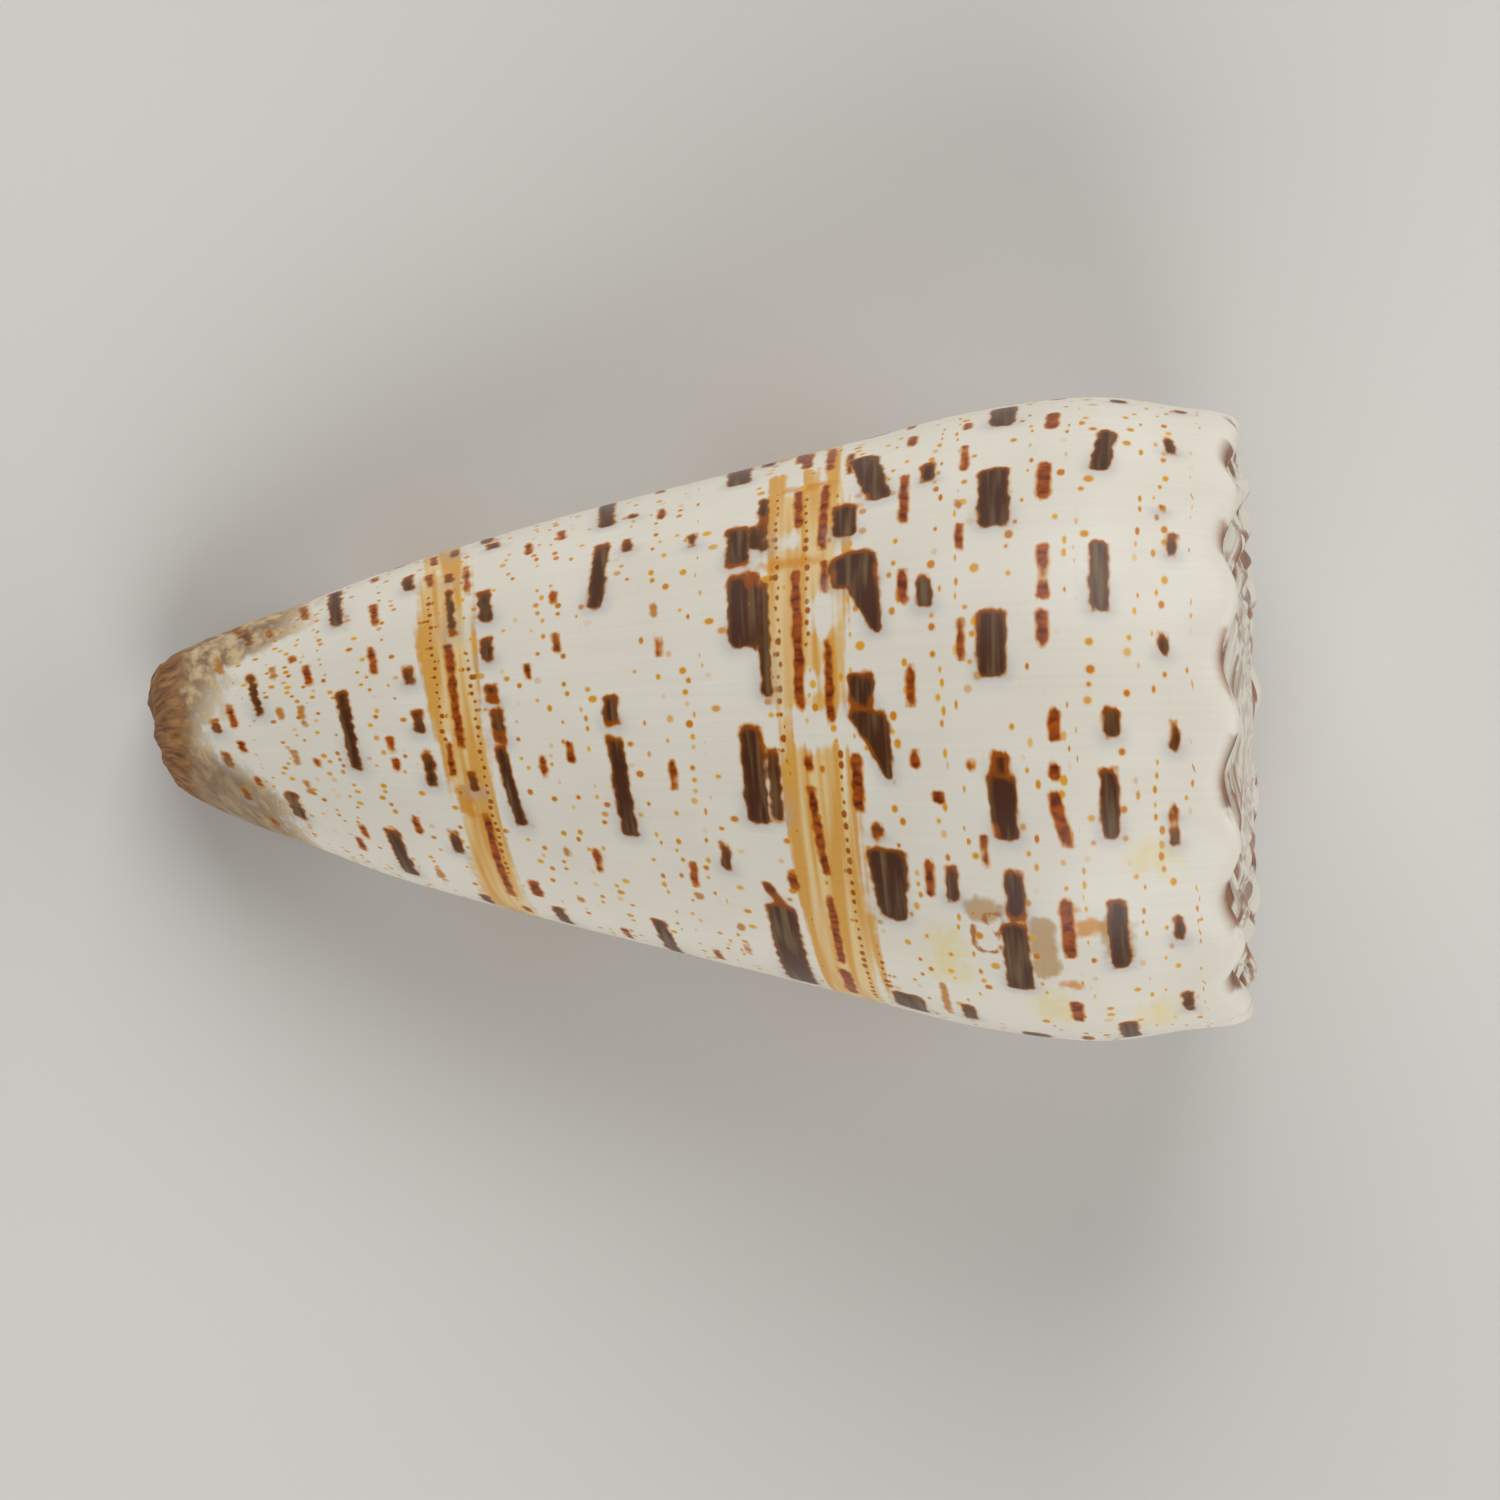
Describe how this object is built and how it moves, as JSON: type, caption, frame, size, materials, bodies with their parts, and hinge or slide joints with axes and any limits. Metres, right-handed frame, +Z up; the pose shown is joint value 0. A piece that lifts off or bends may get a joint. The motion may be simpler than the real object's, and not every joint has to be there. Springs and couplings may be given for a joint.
{
  "type": "cone shell",
  "caption": "Glossy cone-shaped sea shell lying on its aperture: flat knobbed spire, long narrow opening, ivory with amber bands and rows of dark brown dashes.",
  "frame": {"origin": "middle of the shell's outline seen from above, on the surface it lies on", "axes": "+Z up, +X towards the spire, +Y towards the side the lip is on"},
  "size_m": [0.0772, 0.0434, 0.0417],
  "materials": {
    "shell": "glossy porcelain-like shell, ivory with amber and dark brown markings"
  },
  "bodies": {
    "root": {"shell": "shell"}
  },
  "joints": []
}
